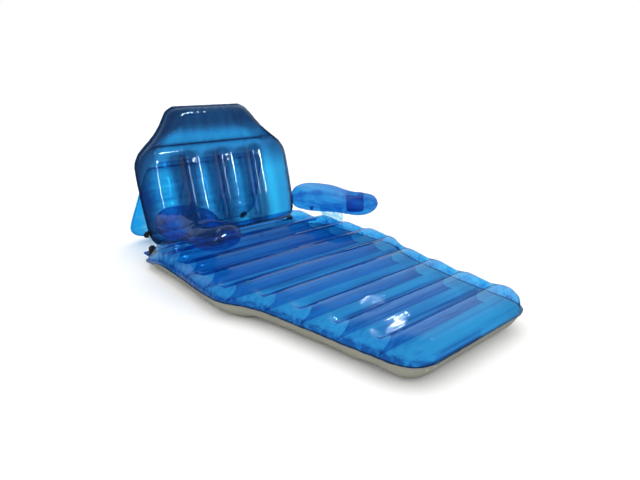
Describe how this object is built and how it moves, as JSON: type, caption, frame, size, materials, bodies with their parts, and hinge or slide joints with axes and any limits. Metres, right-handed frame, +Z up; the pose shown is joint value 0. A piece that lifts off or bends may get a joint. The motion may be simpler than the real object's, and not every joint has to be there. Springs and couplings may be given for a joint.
{
  "type": "inflatable pool float",
  "caption": "Ribbed inflatable lounge float with a leaning backrest, a prop panel behind it, and raised armrests with cup holders.",
  "frame": {"origin": "on the floor under the middle of the float's bounding box", "axes": "+Y from the foot end towards the backrest, +Z up, X across"},
  "size_m": [0.922, 1.7541, 0.6587],
  "materials": {
    "blue_film": "glossy see-through vinyl",
    "rib_film": "translucent vinyl",
    "grey_film": "satin opaque vinyl",
    "blue_valve": "glossy moulded vinyl",
    "clear_plug": "satin",
    "black_plastic": "satin",
    "white_cord": "braided",
    "spring_steel": "wire"
  },
  "bodies": {
    "mat": {"backrest_hinge_strip": "blue_film", "cord_left_knot": "white_cord", "cord_lock_left_body": "black_plastic", "cord_lock_left_spring": "spring_steel", "cord_lock_right_body": "black_plastic", "cord_lock_right_spring": "spring_steel", "cord_right_knot": "white_cord", "corner_tab_left": "blue_film", "corner_tab_right": "blue_film", "mat_bottom_sheet": "grey_film", "mat_rib_1": "rib_film", "mat_rib_2": "rib_film", "mat_rib_3": "rib_film", "mat_rib_4": "rib_film", "mat_rib_5": "rib_film", "mat_rib_6": "rib_film", "mat_rib_7": "rib_film", "mat_rib_8": "rib_film", "mat_top_sheet": "blue_film", "mat_valve_body": "blue_valve"},
    "backrest": {"backrest_back_sheet": "blue_film", "backrest_front_sheet": "blue_film", "backrest_rib_1": "rib_film", "backrest_rib_2": "rib_film", "backrest_rib_3": "rib_film", "backrest_valve_body": "blue_valve", "pillow_rib": "rib_film", "strut_hinge_strip": "blue_film"},
    "strut": {"strut_anchor_left": "black_plastic", "strut_anchor_right": "black_plastic", "strut_back_sheet": "blue_film", "strut_front_sheet": "blue_film", "strut_rib_1": "rib_film", "strut_rib_2": "rib_film", "strut_valve_body": "blue_valve"},
    "armrest_left": {"armrest_left_bottom_sheet": "blue_film", "armrest_left_fin": "blue_film", "armrest_left_top_sheet": "blue_film", "armrest_left_valve_body": "blue_valve", "cup_holder_left": "blue_film"},
    "armrest_right": {"armrest_right_bottom_sheet": "blue_film", "armrest_right_fin": "blue_film", "armrest_right_top_sheet": "blue_film", "armrest_right_valve_body": "blue_valve", "cup_holder_right": "blue_film"},
    "cord_left": {"cord_left": "white_cord"},
    "cord_right": {"cord_right": "white_cord"},
    "armrest_left_valve_plug": {"armrest_left_valve_plug": "clear_plug"},
    "armrest_right_valve_plug": {"armrest_right_valve_plug": "clear_plug"},
    "backrest_valve_plug": {"backrest_valve_plug": "clear_plug"},
    "cord_lock_left_button": {"cord_lock_left_button": "black_plastic"},
    "cord_lock_right_button": {"cord_lock_right_button": "black_plastic"},
    "mat_valve_plug": {"mat_valve_plug": "clear_plug"},
    "strut_valve_plug": {"strut_valve_plug": "clear_plug"}
  },
  "joints": [
    {"name": "backrest_recline", "type": "hinge", "parent": "mat", "child": "backrest", "pos_m": [0, 0.509, 0.067], "axis": [1, 0, 0], "range_deg": [-20, 0], "deforming": ["backrest_hinge_strip"]},
    {"name": "strut_fold", "type": "hinge", "parent": "backrest", "child": "strut", "pos_m": [0, 0.67175, 0.39675], "axis": [1, 0, 0], "range_deg": [0, 37.6], "deforming": ["strut_hinge_strip"]},
    {"name": "cord_left_stretch", "type": "slide", "parent": "mat", "child": "cord_left", "axis": [0, 1, 0], "range_m": [0, 0.207], "deforming": ["cord_left"]},
    {"name": "armrest_left_fold", "type": "hinge", "parent": "mat", "child": "armrest_left", "pos_m": [-0.4542, 0.22849, 0.064], "axis": [0, -1, 0], "range_deg": [0, 90]},
    {"name": "cord_lock_left_press", "type": "slide", "parent": "mat", "child": "cord_lock_left_button", "axis": [0, 0, -1], "range_m": [0, 0.0035], "stiffness_N_per_m": 400, "springref_m": -0.003, "deforming": ["cord_lock_left_spring"]},
    {"name": "cord_right_stretch", "type": "slide", "parent": "mat", "child": "cord_right", "axis": [0, 1, 0], "range_m": [0, 0.207], "deforming": ["cord_right"]},
    {"name": "armrest_right_fold", "type": "hinge", "parent": "mat", "child": "armrest_right", "pos_m": [0.4542, 0.22849, 0.064], "axis": [0, 1, 0], "range_deg": [0, 90]},
    {"name": "cord_lock_right_press", "type": "slide", "parent": "mat", "child": "cord_lock_right_button", "axis": [0, 0, -1], "range_m": [0, 0.0035], "stiffness_N_per_m": 400, "springref_m": -0.003, "deforming": ["cord_lock_right_spring"]},
    {"name": "mat_valve_plug_pull", "type": "slide", "parent": "mat", "child": "mat_valve_plug", "axis": [0, 0.7993, -0.6009], "range_m": [0, 0.012]},
    {"name": "backrest_valve_plug_pull", "type": "slide", "parent": "backrest", "child": "backrest_valve_plug", "axis": [0, 0.9681, -0.2504], "range_m": [0, 0.012]},
    {"name": "strut_valve_plug_pull", "type": "slide", "parent": "strut", "child": "strut_valve_plug", "axis": [-0.0733, -0.8846, -0.4605], "range_m": [0, 0.012]},
    {"name": "armrest_left_valve_plug_pull", "type": "slide", "parent": "armrest_left", "child": "armrest_left_valve_plug", "axis": [0, -0.0645, -0.9979], "range_m": [0, 0.012]},
    {"name": "armrest_right_valve_plug_pull", "type": "slide", "parent": "armrest_right", "child": "armrest_right_valve_plug", "axis": [0, -0.0645, -0.9979], "range_m": [0, 0.012]}
  ],
  "couplings": [
    {"joint": "strut_fold", "follows": "backrest_recline", "ratio": -1.87},
    {"joint": "cord_left_stretch", "follows": "backrest_recline", "m_per_rad": -0.59},
    {"joint": "cord_right_stretch", "follows": "backrest_recline", "m_per_rad": -0.59}
  ]
}
